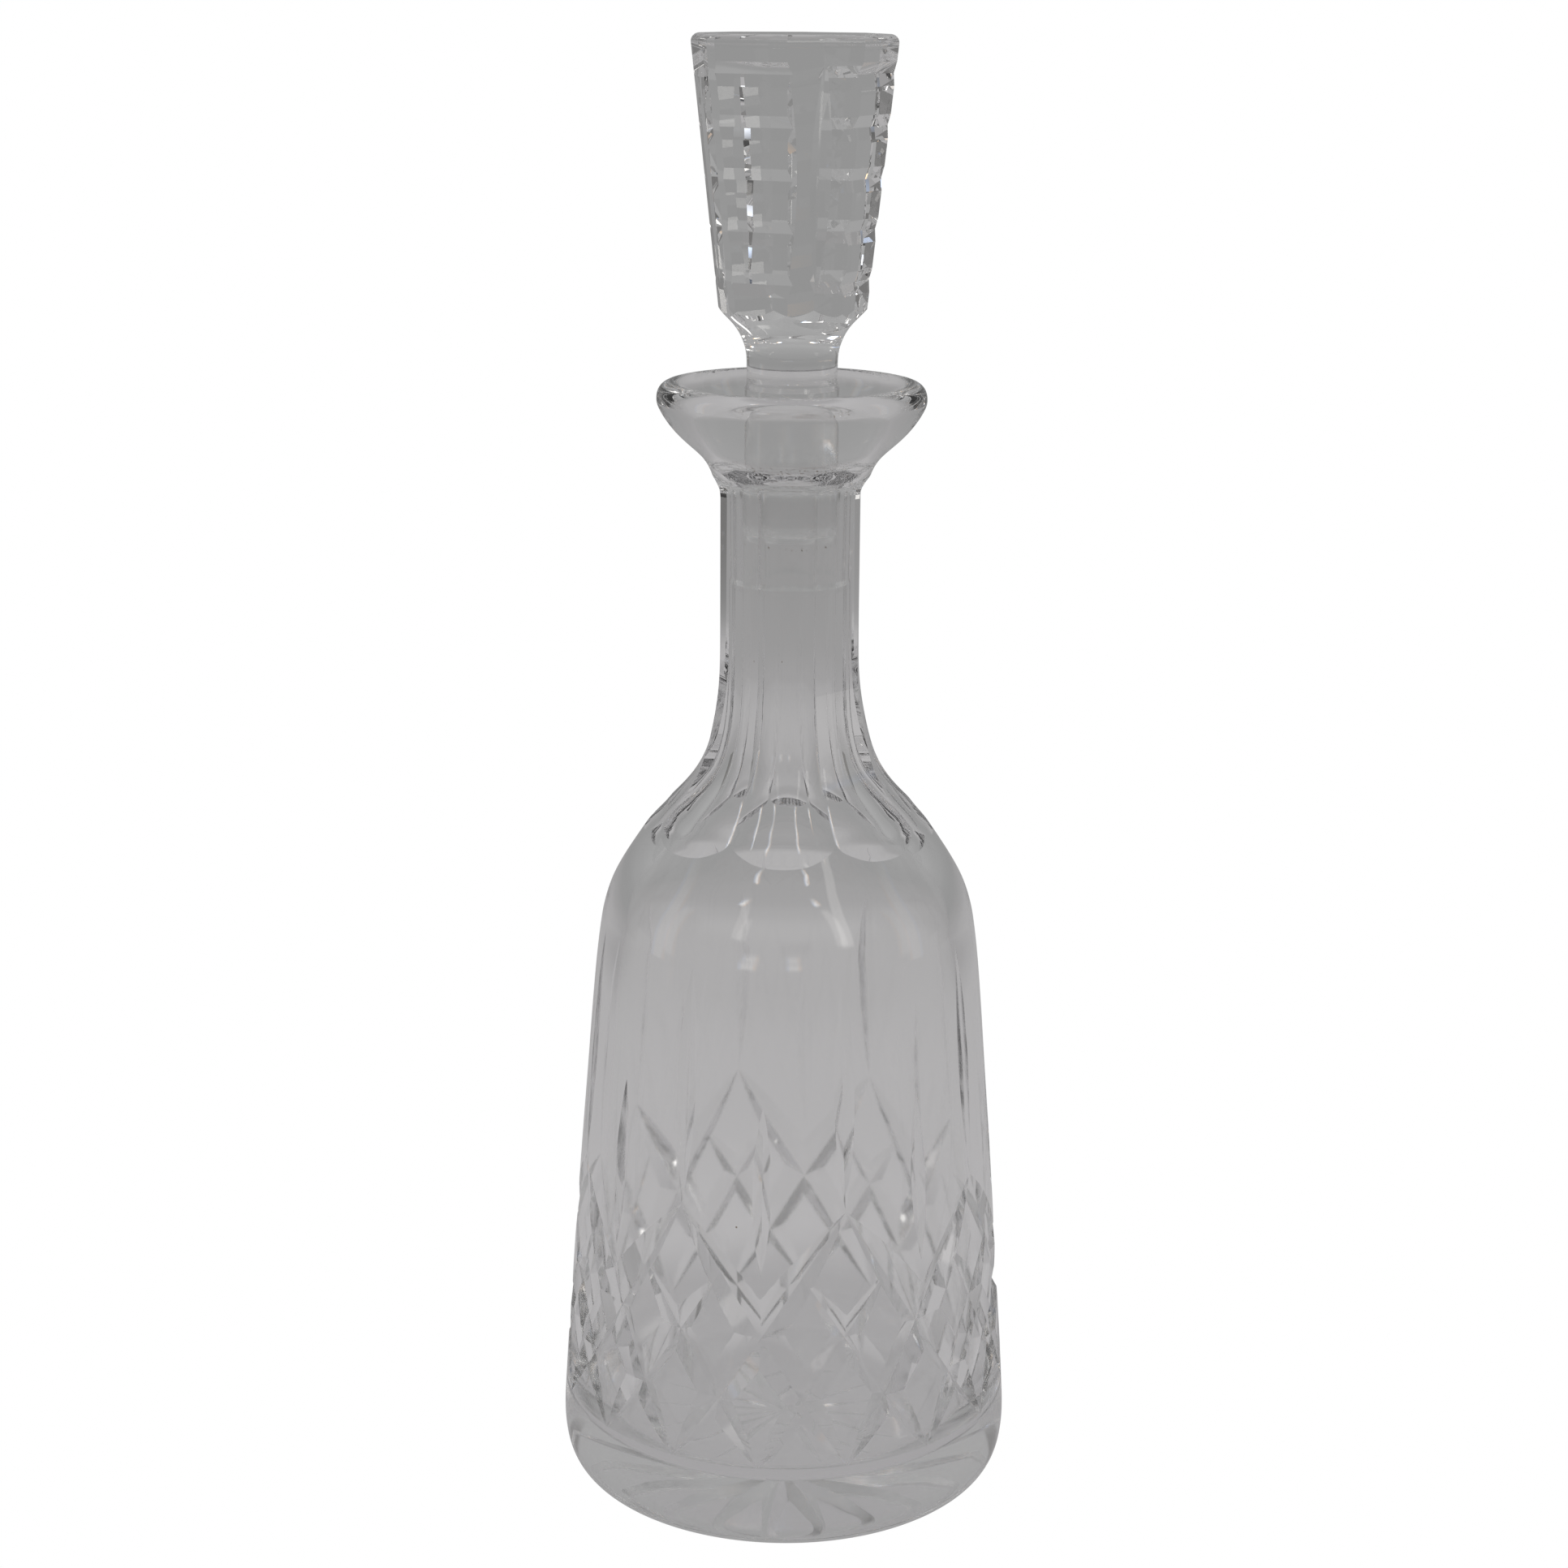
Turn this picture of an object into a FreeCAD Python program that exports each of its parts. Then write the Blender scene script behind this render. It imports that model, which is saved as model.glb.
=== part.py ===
import FreeCAD, Part
import os
from math import sin, cos, tan, atan, hypot, degrees, radians
from FreeCAD import Vector

os.makedirs("parts", exist_ok=True)

# Driving sizes: millimetres and degrees. The origin is the middle of the base, +Z is up.
total_height = 336.5        # table to the top of the seated stopper
rim_height = 261.4          # table to the crest of the pouring lip
rest_radius = 44.5          # outer edge of the flat ring the decanter stands on
floor_height = 14.0         # thickness of the glass floor

facets = 8                  # the neck, the body cuts and the stopper all repeat eight times
facet_step = 360.0 / facets
flute_turn = 4.0            # the neck flutes sit a little round from the body cuts
stopper_turn = 2.4          # how the seated stopper happens to be turned
flute_flat = 15.5           # axis to the middle of a neck flute

row_pitch = 15.1            # vertical spacing of the crossing rows on the body
row_bottom = 21.8           # height of the lowest row of crossings
flank_high, flank_low = 24.0, 36.0    # slope of a slanting cut's upper and lower side
flank_upright = 28.0        # slope of both sides of an upright cut
cut_stations, cut_overrun = 7, 1.12   # sections along a cutter, and how far it runs past its ends
long_depth = 2.8            # V cuts that run over four rows
short_depth = 2.05          # V cuts that run over three rows
spear_top, spear_depth = 137.0, 1.35
blade_top, blade_depth = 107.0, 1.2

star_points = 16
star_radius, star_inner, star_depth = 36.0, 11.8, 2.0

bore_top, bore_end = 241.0, 217.5      # heights of the ground seat in the neck
seat_radius, seat_slope = 10.35, 0.0158
seat_gap = 0.05                        # running clearance of the plug in its seat
plug_bottom, plug_top = 226.5, 260.0

prism_corner, prism_taper = 17.06, 0.107    # corner radius at 283 high, growth per mm upward
prism_reference = 283.0
groove_bottom, groove_pitch, groove_rows = 284.0, 11.06, 5
groove_depth, groove_half_height = 0.85, 2.6
plain_panels, grooved_panels = (0, 2, 4, 6), (1, 3, 5, 7)
run_out_panel, run_out_turn = 5, -8.0   # where the grooves run out before the panel's far edge
upright_low, upright_high = 282.5, 332.0    # pointed ends of the upright cuts on the other panels
upright_depth, upright_flank = 1.2, 27.0    # their depth at mid height and the slope of their sides
crown_round = 1.8

# Outside of the blown shape before cutting, as (radius, height).
heel_line = [(rest_radius, 0.0), (47.6, 0.45), (49.75, 1.6), (51.35, 3.4), (52.45, 5.9),
             (53.05, 9.0), (53.3, 13.0)]
wall_line = [(53.3, 13.0), (53.2, 16.5), (52.95, 20.5), (52.35, 30.0), (51.6, 40.0), (50.9, 50.0),
             (50.15, 60.0), (49.4, 70.0), (48.62, 80.0), (47.8, 90.0), (46.95, 100.0),
             (46.15, 110.0), (45.3, 120.0), (44.3, 130.0), (43.35, 137.0)]
shoulder_line = [(43.35, 137.0), (42.75, 140.0), (41.9, 143.0), (40.75, 146.0), (39.2, 149.0),
                 (37.4, 152.0), (35.45, 155.0), (33.45, 158.0), (31.35, 161.0), (29.1, 164.3),
                 (26.9, 167.5), (24.7, 171.0), (22.9, 174.5), (21.3, 178.0), (19.85, 182.5),
                 (18.6, 188.0), (17.8, 194.0), (17.4, 202.0), (17.3, 212.0)]
lip_line = [(17.2, 230.0), (17.25, 235.0), (17.38, 238.0), (17.6, 240.0), (18.3, 242.0),
            (19.75, 244.4), (21.6, 246.3), (23.75, 248.2), (26.0, 250.4), (28.1, 253.0),
            (29.5, 255.3), (30.2, 257.5)]
rim_line = [(30.2, 257.5), (30.05, 259.0), (29.3, 260.4), (28.1, 261.2), (26.9, rim_height)]

# Inside of the vessel from the rim down to the floor, as (radius, height).
mouth_line = [(26.9, rim_height), (25.6, 261.15), (24.5, 260.3), (23.6, 258.4), (22.6, 256.0),
              (20.9, 253.0), (18.4, 249.8), (15.6, 246.6), (13.0, 243.9), (11.2, 242.1),
              (seat_radius, bore_top)]
neck_bore = [(10.45, 216.3), (10.45, 200.0), (10.65, 190.0), (11.2, 181.5), (12.3, 175.5),
             (14.3, 170.3), (17.3, 165.8), (21.2, 161.2), (25.6, 156.3), (29.7, 151.8),
             (33.0, 147.8), (35.3, 144.0), (36.9, 139.5), (37.8, 134.5), (38.6, 129.0),
             (39.6, 120.0), (40.6, 108.0), (41.6, 96.0), (42.75, 80.0), (44.1, 62.0),
             (45.35, 44.0), (46.2, 32.0), (46.3, 26.0)]
floor_corner = [(46.3, 26.0), (45.6, 20.5), (43.3, 16.4), (39.5, 14.3), (36.0, floor_height)]

# Depth line of one neck flute: axis to the flat at each height.
flute_line = [(36.4, 156.2), (34.3, 157.5), (32.6, 158.5), (31.15, 159.6), (29.4, 161.0),
              (27.65, 163.0), (25.85, 165.0), (24.15, 167.0), (22.65, 169.0), (21.0, 171.7),
              (19.5, 175.0), (18.15, 179.5), (17.0, 184.8), (16.15, 190.0), (15.7, 195.0),
              (15.53, 201.0), (flute_flat, 208.0)]
flute_end = [(flute_flat, 236.0), (15.7, 238.0), (16.15, 239.2), (16.95, 240.2), (18.1, 241.1),
             (19.8, 242.0)]

# Underside of the stopper head, from its neck out under the prism.
head_line = [(10.13, 265.5), (10.4, 268.5), (11.0, 270.5), (11.85, 272.3), (13.1, 274.1),
             (15.0, 276.1), (16.7, 277.9), (19.0, 280.6)]


def section(points, start=None, end=None):
    """Smooth curve through (radius, height) points, with optional end directions."""
    curve = Part.BSplineCurve()
    places = [Vector(r, 0, z) for r, z in points]
    if start:
        curve.interpolate(Points=places, InitialTangent=Vector(start[0], 0, start[1]),
                          FinalTangent=Vector(end[0], 0, end[1]))
    else:
        curve.interpolate(Points=places)
    return curve


def straight(a, b):
    return Part.LineSegment(Vector(a[0], 0, a[1]), Vector(b[0], 0, b[1])).toShape()


def turned(edges):
    """Solid of revolution about the Z axis from a closed set of edges."""
    return Part.Face(Part.Wire(edges)).revolve(Vector(0, 0, 0), Vector(0, 0, 1), 360)


def facing(tool, angle):
    """Copy of a tool made towards +X, turned to an angle counted from the -Y side towards +X."""
    moved = tool.copy()
    moved.rotate(Vector(0, 0, 0), Vector(0, 0, 1), angle - 90)
    return moved


def direction(a, b):
    """Unit direction from one (radius, height) point to another."""
    run, rise = b[0] - a[0], b[1] - a[1]
    length = hypot(run, rise)
    return run / length, rise / length


wall_slope = direction((44.3, 130.0), (42.75, 140.0))
wall_curve = section(wall_line, (0, 1), wall_slope)


def wall_radius(height):
    """Radius of the uncut wall at a height, found by halving along its curve."""
    top = wall_line[-1][1]
    if height > top:
        return wall_line[-1][0] + (height - top) * wall_slope[0] / wall_slope[1]
    low, high = wall_curve.FirstParameter, wall_curve.LastParameter
    for _ in range(40):
        middle = (low + high) / 2
        if wall_curve.value(middle).z < height:
            low = middle
        else:
            high = middle
    return wall_curve.value(low).x


def on_wall(angle, height):
    """Point on the uncut wall; angles are counted from the -Y side towards +X."""
    r = wall_radius(height)
    return Vector(r * sin(radians(angle)), -r * cos(radians(angle)), height)


def wall_normal(angle, height):
    """Direction square to the uncut wall, pointing out of the glass."""
    lean = (wall_radius(height + 1.0) - wall_radius(height - 1.0)) / 2.0
    return Vector(sin(radians(angle)), -cos(radians(angle)), -lean).normalize()


def wall_cut(start, end, depth, slopes=(flank_upright, flank_upright)):
    """V cutter held square to the wall along its path; it is `depth` under the wall midway."""
    reach = 5.0
    near, far = (reach / tan(radians(a)) for a in slopes)

    def place(s):
        share = (s + 1) / 2
        return (start[0] + (end[0] - start[0]) * share, start[1] + (end[1] - start[1]) * share)

    sections = []
    for n in range(cut_stations):
        s = cut_overrun * (2.0 * n / (cut_stations - 1) - 1)
        outward = wall_normal(*place(s))
        along = on_wall(*place(s + 0.01)) - on_wall(*place(s - 0.01))
        across = along.cross(outward).normalize()
        floor = on_wall(*place(s)) - outward * (depth * (1 - s * s))
        sections.append(Part.makePolygon([floor, floor + outward * reach + across * near,
                                          floor + outward * reach - across * far, floor]))
    return Part.makeLoft(sections, True, False)


def body_cuts():
    """The V cuts of the body, in groups of eight that don't touch one another."""
    rows = [row_bottom + row_pitch * n for n in range(5)]
    half = facet_step / 2
    columns = [n * facet_step for n in range(facets)]
    groups = []
    for side in (-1, 1):
        slopes = (flank_high, flank_low) if side < 0 else (flank_low, flank_high)
        groups.append([wall_cut((c, rows[4]), (c + side * facet_step, rows[0]), long_depth, slopes)
                       for c in columns])
        groups.append([wall_cut((c - side * half / 2, rows[3]), (c + side * half, rows[0]),
                                short_depth, slopes) for c in columns])
    groups.append([wall_cut((c, spear_top), (c, rows[4]), spear_depth) for c in columns])
    groups.append([wall_cut((c + half, blade_top), (c + half, rows[3]), blade_depth)
                   for c in columns])
    return groups


def neck_flutes():
    """Eight flat flutes that sweep out onto the shoulder and stop under the lip."""
    lower = section(flute_line, direction(flute_line[0], flute_line[1]), (0, 1))
    upper = section(flute_end, (0, 1), direction(flute_end[-2], flute_end[-1]))
    far = 60.0
    edges = [lower.toShape(), straight(flute_line[-1], flute_end[0]), upper.toShape(),
             straight(flute_end[-1], (far, flute_end[-1][1])),
             straight((far, flute_end[-1][1]), (far, flute_line[0][1])),
             straight((far, flute_line[0][1]), flute_line[0])]
    profile = Part.Face(Part.Wire(edges))
    profile.translate(Vector(0, -40, 0))
    cutter = profile.extrude(Vector(0, 80, 0))
    return [facing(cutter, flute_turn + (n + 0.5) * facet_step) for n in range(facets)]


def base_star():
    """Star of V rays under the base, as one pointed solid reaching below the table."""
    grow = 1.25
    peak = Vector(0, 0, star_depth)
    ring = []
    for n in range(star_points * 2):
        r = grow * (star_radius if n % 2 == 0 else star_inner)
        turn = radians(n * 180.0 / star_points)
        ring.append(Vector(r * sin(turn), -r * cos(turn), star_depth * (1 - grow)))
    faces = [Part.Face(Part.makePolygon(ring + [ring[0]]))]
    for n in range(len(ring)):
        a, b = ring[n], ring[(n + 1) % len(ring)]
        faces.append(Part.Face(Part.makePolygon([a, b, peak, a])))
    return Part.Solid(Part.Shell(faces))


def seat(height):
    """Radius of the ground seat in the neck at a height."""
    return seat_radius + seat_slope * (height - bore_top)


def decanter_body():
    heel = section(heel_line, (1, 0.02), (0, 1))
    shoulder = section(shoulder_line, wall_slope, (0, 1))
    lip = section(lip_line, (0, 1), (0, 1))
    rim = section(rim_line, (0, 1), (-1, 0))
    mouth = section(mouth_line, (-1, 0), direction(mouth_line[-2], mouth_line[-1]))
    bore = section(neck_bore, (0, -1), (0, -1))
    corner = section(floor_corner, (0, -1), (-1, 0))
    seat_end = (seat(bore_end), bore_end)
    edges = [straight((0, 0), heel_line[0]), heel.toShape(), wall_curve.toShape(),
             shoulder.toShape(), straight(shoulder_line[-1], lip_line[0]), lip.toShape(),
             rim.toShape(), mouth.toShape(), straight(mouth_line[-1], seat_end),
             straight(seat_end, neck_bore[0]), bore.toShape(), corner.toShape(),
             straight(floor_corner[-1], (0, floor_height)), straight((0, floor_height), (0, 0))]
    body = turned(edges).cut(neck_flutes()).cut(base_star())
    for group in body_cuts():
        body = body.cut(group)
    return body


def octagon(height):
    corner = prism_corner + prism_taper * (height - prism_reference)
    turns = [radians((n + 0.5) * facet_step + stopper_turn) for n in range(facets + 1)]
    return Part.makePolygon([Vector(corner * sin(t), -corner * cos(t), height) for t in turns])


def panel_flat(height):
    """Axis to the middle of a stopper panel at a height."""
    return (prism_corner + prism_taper * (height - prism_reference)) * cos(radians(facet_step / 2))


panel_lean = atan(prism_taper * cos(radians(facet_step / 2)))


def panel_grooves():
    """Five level V grooves on every other panel of the stopper head."""
    reach, half_length = 4.0, 20.0
    rise = groove_half_height * (reach + groove_depth) / groove_depth
    tools = []
    for panel in grooved_panels:
        for row in range(groove_rows):
            height = groove_bottom + row * groove_pitch
            flat = panel_flat(height)
            points = [(flat - groove_depth, height), (flat + reach, height + rise),
                      (flat + reach, height - rise), (flat - groove_depth, height)]
            blade = Part.Face(Part.makePolygon([Vector(r, 0, z) for r, z in points]))
            blade.rotate(Vector(flat, 0, height), Vector(0, 1, 0), degrees(panel_lean))
            blade.translate(Vector(0, -half_length, 0))
            tool = blade.extrude(Vector(0, 2 * half_length, 0))
            if panel == run_out_panel:
                tool.rotate(Vector(flat - groove_depth, 2.5, height), Vector(0, 0, 1), run_out_turn)
            tools.append(facing(tool, panel * facet_step + stopper_turn))
    return tools


def upright_panel_cuts():
    """The path of a V-rimmed cutting wheel down the middle of the panels without grooves."""
    middle = (upright_low + upright_high) / 2
    length = (upright_high - upright_low) / cos(panel_lean)
    wheel = length ** 2 / (8 * upright_depth)
    away = wheel - upright_depth
    hub = Vector(panel_flat(middle) + away * cos(panel_lean), 0, middle - away * sin(panel_lean))
    half_width, sweep = 6.0, 10.0
    inner = wheel - half_width * tan(radians(upright_flank))
    corners = [(wheel, 0), (inner, half_width), (inner, -half_width), (wheel, 0)]
    rim = Part.Face(Part.makePolygon([hub + Vector(-r, y, 0) for r, y in corners]))
    rim.rotate(hub, Vector(0, 1, 0), -sweep / 2 - degrees(panel_lean))
    blade = rim.revolve(hub, Vector(0, 1, 0), sweep)
    return [facing(blade, panel * facet_step + stopper_turn) for panel in plain_panels]


def stopper():
    prism = Part.makeLoft([octagon(262.0), octagon(total_height)], True, True)
    crown = [e for e in prism.Edges
             if all(abs(v.Point.z - total_height) < 0.01 for v in e.Vertexes)]
    prism = prism.makeFillet(crown_round, crown)
    head = section(head_line, (0, 1), direction(head_line[-2], head_line[-1]))
    edge = head_line[-1]
    trim = turned([straight((0, edge[1] + 60), (0, head_line[0][1])),
                   straight((0, head_line[0][1]), head_line[0]), head.toShape(),
                   straight(edge, (30, edge[1] + 12)),
                   straight((30, edge[1] + 12), (30, edge[1] + 60)),
                   straight((30, edge[1] + 60), (0, edge[1] + 60))])
    head_solid = prism.common(trim).cut(panel_grooves()).cut(upright_panel_cuts())

    def plug(height):
        return seat(height) - seat_gap

    neck = head_line[0][0]
    outline = [(0, 268.0), (0, plug_bottom), (plug(plug_bottom) - 1.3, plug_bottom),
               (plug(plug_bottom + 1.6), plug_bottom + 1.6), (plug(plug_top), plug_top),
               (neck, plug_top + 1.1), (neck, head_line[0][1]), (neck - 2.0, 268.0), (0, 268.0)]
    edges = [straight(a, b) for a, b in zip(outline, outline[1:])]
    return head_solid.fuse(turned(edges)).removeSplitter()


for name, shape in (("decanter_body", decanter_body()), ("stopper", stopper())):
    solid = shape.Solids[0] if len(shape.Solids) == 1 else shape
    solid.exportStep("parts/%s.step" % name)
    box = solid.BoundBox
    print(name, len(shape.Solids), "solid", solid.isValid(), len(solid.Faces), "faces",
          "%.1f x %.1f x %.1f mm" % (box.XLength, box.YLength, box.ZLength), "volume %.1f cm3"
          % (solid.Volume / 1000))
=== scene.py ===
import math

import bmesh
import bpy
import numpy as np
from mathutils import Matrix, Vector


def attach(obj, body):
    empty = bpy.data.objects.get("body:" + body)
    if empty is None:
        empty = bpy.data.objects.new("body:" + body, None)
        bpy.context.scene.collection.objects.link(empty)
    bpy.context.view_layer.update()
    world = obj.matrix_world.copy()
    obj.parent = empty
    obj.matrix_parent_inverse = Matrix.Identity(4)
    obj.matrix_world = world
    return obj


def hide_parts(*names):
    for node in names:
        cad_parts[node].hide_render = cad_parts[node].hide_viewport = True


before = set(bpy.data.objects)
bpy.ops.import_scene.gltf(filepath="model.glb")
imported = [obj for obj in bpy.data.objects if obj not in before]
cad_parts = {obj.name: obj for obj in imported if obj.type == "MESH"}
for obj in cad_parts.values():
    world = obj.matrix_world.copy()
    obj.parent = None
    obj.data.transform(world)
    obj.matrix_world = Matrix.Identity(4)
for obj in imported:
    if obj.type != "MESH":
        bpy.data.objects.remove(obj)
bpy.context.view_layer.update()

GLASS_IOR = 1.53
TURNS = 192             # facets of a turned surface
MM = 0.001
CLEARANCE = 0.9997      # keeps the turned surfaces just inside the CAD ones

# Sizes of the cut shapes, in millimetres and degrees, as in the CAD source.
FACETS = 8              # the neck, the body cuts and the stopper all repeat eight times
STEP = 360.0 / FACETS
FLUTE_TURN, STOPPER_TURN = 4.0, 2.4
ROW_PITCH, ROW_BOTTOM = 15.1, 21.8
FLANK_HIGH, FLANK_LOW, FLANK_UPRIGHT = 24.0, 36.0, 28.0
LONG_DEPTH, SHORT_DEPTH = 2.8, 2.05
SPEAR_TOP, SPEAR_DEPTH = 137.0, 1.35
BLADE_TOP, BLADE_DEPTH = 107.0, 1.2
STAR_POINTS, STAR_RADIUS, STAR_INNER, STAR_DEPTH = 16, 36.0, 11.8, 2.0
PRISM_CORNER, PRISM_TAPER, PRISM_REFERENCE = 17.06, 0.107, 283.0
STOPPER_TOP, CROWN_ROUND = 336.49, 1.8      # the top stays 0.01 mm under the CAD's
COS_HALF = math.cos(math.radians(STEP / 2))
PANEL_LEAN = math.atan(PRISM_TAPER * COS_HALF)
PLAIN_PANELS, GROOVED_PANELS = range(0, FACETS, 2), range(1, FACETS, 2)
GROOVE_BOTTOM, GROOVE_PITCH, GROOVE_ROWS, GROOVE_DEPTH, GROOVE_HALF = 284.0, 11.06, 5, 0.85, 2.6
RUN_OUT_PANEL, RUN_OUT_TURN, RUN_OUT_SIDE = 5, -8.0, 2.5
SEAT_RADIUS, SEAT_SLOPE, SEAT_TOP, SEAT_END, SEAT_GAP = 10.35, 0.0158, 241.0, 217.5, 0.05
PLUG_BOTTOM, PLUG_TOP, PLUG_CHAMFER_IN, PLUG_CHAMFER_UP = 226.5, 260.0, 1.3, 1.6
UPRIGHT_LOW, UPRIGHT_HIGH, UPRIGHT_DEPTH, UPRIGHT_FLANK = 282.5, 332.0, 1.2, 27.0

HEEL = [(44.5, 0.0), (47.6, 0.45), (49.75, 1.6), (51.35, 3.4), (52.45, 5.9), (53.05, 9.0), (53.3, 13.0)]
WALL = [(53.3, 13.0), (53.2, 16.5), (52.95, 20.5), (52.35, 30.0), (51.6, 40.0), (50.9, 50.0),
        (50.15, 60.0), (49.4, 70.0), (48.62, 80.0), (47.8, 90.0), (46.95, 100.0), (46.15, 110.0),
        (45.3, 120.0), (44.3, 130.0), (43.35, 137.0)]
SHOULDER = [(43.35, 137.0), (42.75, 140.0), (41.9, 143.0), (40.75, 146.0), (39.2, 149.0), (37.4, 152.0),
            (35.45, 155.0), (33.45, 158.0), (31.35, 161.0), (29.1, 164.3), (26.9, 167.5), (24.7, 171.0),
            (22.9, 174.5), (21.3, 178.0), (19.85, 182.5), (18.6, 188.0), (17.8, 194.0), (17.4, 202.0),
            (17.3, 212.0)]
LIP = [(17.2, 230.0), (17.25, 235.0), (17.38, 238.0), (17.6, 240.0), (18.3, 242.0), (19.75, 244.4),
       (21.6, 246.3), (23.75, 248.2), (26.0, 250.4), (28.1, 253.0), (29.5, 255.3), (30.2, 257.5)]
RIM = [(30.2, 257.5), (30.05, 259.0), (29.3, 260.4), (28.1, 261.2), (26.9, 261.4)]
MOUTH = [(26.9, 261.4), (25.6, 261.15), (24.5, 260.3), (23.6, 258.4), (22.6, 256.0), (20.9, 253.0),
         (18.4, 249.8), (15.6, 246.6), (13.0, 243.9), (11.2, 242.1), (10.35, 241.0)]
BORE = [(10.45, 216.3), (10.45, 200.0), (10.65, 190.0), (11.2, 181.5), (12.3, 175.5), (14.3, 170.3),
        (17.3, 165.8), (21.2, 161.2), (25.6, 156.3), (29.7, 151.8), (33.0, 147.8), (35.3, 144.0),
        (36.9, 139.5), (37.8, 134.5), (38.6, 129.0), (39.6, 120.0), (40.6, 108.0), (41.6, 96.0),
        (42.75, 80.0), (44.1, 62.0), (45.35, 44.0), (46.2, 32.0), (46.3, 26.0)]
FLOOR_CORNER = [(46.3, 26.0), (45.6, 20.5), (43.3, 16.4), (39.5, 14.3), (36.0, 14.0)]
FLUTE = [(36.4, 156.2), (34.3, 157.5), (32.6, 158.5), (31.15, 159.6), (29.4, 161.0), (27.65, 163.0),
         (25.85, 165.0), (24.15, 167.0), (22.65, 169.0), (21.0, 171.7), (19.5, 175.0), (18.15, 179.5),
         (17.0, 184.8), (16.15, 190.0), (15.7, 195.0), (15.53, 201.0), (15.5, 208.0)]
FLUTE_END = [(15.5, 236.0), (15.7, 238.0), (16.15, 239.2), (16.95, 240.2), (18.1, 241.1), (19.8, 242.0)]
HEAD = [(10.13, 265.5), (10.4, 268.5), (11.0, 270.5), (11.85, 272.3), (13.1, 274.1), (15.0, 276.1),
        (16.7, 277.9), (19.0, 280.6)]


# Curves

def unit(v):
    v = np.asarray(v, float)
    return v / np.linalg.norm(v, axis=-1, keepdims=True)


def heading(a, b):
    return unit(np.subtract(b, a))


def spline(points, start=None, end=None, between=4):
    """Smooth curve through (radius, height) points: its sample points and unit directions."""
    p = np.array(points, float)
    knots = np.concatenate([[0.0], np.cumsum(np.linalg.norm(np.diff(p, axis=0), axis=1))])
    h = np.diff(knots)
    n = len(p)
    left = unit(start) if start is not None else heading(p[0], p[1])
    right = unit(end) if end is not None else heading(p[-2], p[-1])
    system, known = np.eye(n), np.zeros((n, 2))
    known[0], known[-1] = left, right
    for i in range(1, n - 1):
        system[i, i - 1], system[i, i], system[i, i + 1] = 1 / h[i - 1], 2 / h[i - 1] + 2 / h[i], 1 / h[i]
        known[i] = 3 * ((p[i] - p[i - 1]) / h[i - 1] ** 2 + (p[i + 1] - p[i]) / h[i] ** 2)
    slope = np.linalg.solve(system, known)
    places, ways = [], []
    for i in range(n - 1):
        for k in range(between if i < n - 2 else between + 1):
            t = k / between
            a, b, m, q = p[i], p[i + 1], slope[i] * h[i], slope[i + 1] * h[i]
            places.append((2 * t**3 - 3 * t**2 + 1) * a + (t**3 - 2 * t**2 + t) * m
                          + (3 * t**2 - 2 * t**3) * b + (t**3 - t**2) * q)
            ways.append((6 * t**2 - 6 * t) * (a - b) / h[i] + (3 * t**2 - 4 * t + 1) * slope[i]
                        + (3 * t**2 - 2 * t) * slope[i + 1])
    return np.array(places), unit(ways)


def line(a, b, parts=1):
    """Straight run between two (radius, height) points."""
    share = np.linspace(0, 1, parts + 1)[:, None]
    places = np.array(a) + (np.array(b, float) - a) * share
    return places, np.repeat(heading(a, b)[None], parts + 1, 0)


def outward(ways):
    """Normals of a run walked up the outside of a turned shape, or down its inside."""
    return np.stack([ways[:, 1], -ways[:, 0]], 1)


# Solids whose faces remember the smooth strip they belong to. A strip says how its normal turns
# from its start to its end, so that shading stays exact after the shapes are cut out of one another.

class Strips:
    def __init__(self):
        self.rows = [((0, 0, 0), (1, 0, 0), (0, 0, 1), (0, 0, 1), 0)]   # for faces that are cut away

    def add(self, start, end, normal_start, normal_end, turned=0):
        """turned: 0 in space, 1 about the Z axis with (radius, 0, height) values."""
        self.rows.append((tuple(start), tuple(np.subtract(end, start)), tuple(normal_start),
                          tuple(normal_end), turned))
        return len(self.rows) - 1


def make_object(name, verts, faces, patches):
    mesh = bpy.data.meshes.new(name)
    mesh.from_pydata([tuple(v) for v in verts], [], faces)
    mesh.attributes.new("patch", "INT", "FACE").data.foreach_set("value", patches)
    work = bmesh.new()
    work.from_mesh(mesh)
    bmesh.ops.recalc_face_normals(work, faces=work.faces)
    work.to_mesh(mesh)
    work.free()
    made = bpy.data.objects.new(name, mesh)
    bpy.context.scene.collection.objects.link(made)
    return made


def turned_solid(name, runs, strips):
    """Solid of revolution from runs of (points, normals); flat discs close its two ends."""
    angles = np.radians((np.arange(TURNS) + 0.5) * 360.0 / TURNS)
    verts, faces, patches = [], [], []

    def ring(point):
        first = len(verts)
        verts.extend((point[0] * math.sin(a) * CLEARANCE, -point[0] * math.cos(a) * CLEARANCE, point[1])
                     for a in angles)
        return first

    lowest = previous = None
    for points, normals in runs:
        for i in range(len(points)):
            if previous is not None and i == 0:
                continue
            now = ring(points[i])
            if i == 0:
                lowest = now
            else:
                a, b = ((radius * CLEARANCE, 0, height) for radius, height in points[i - 1:i + 1])
                patch = strips.add(a, b, (normals[i - 1][0], 0, normals[i - 1][1]),
                                   (normals[i][0], 0, normals[i][1]), 1)
                for k in range(TURNS):
                    m = (k + 1) % TURNS
                    faces.append((previous + k, previous + m, now + m, now + k))
                    patches.append(patch)
            previous = now
    for first, up in ((lowest, -1), (previous, 1)):
        faces.append(tuple(first + k for k in range(TURNS)))
        patches.append(strips.add((0, 0, 0), (1, 0, 0), (0, 0, up), (0, 0, up)))
    return make_object(name, verts, faces, patches)


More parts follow.
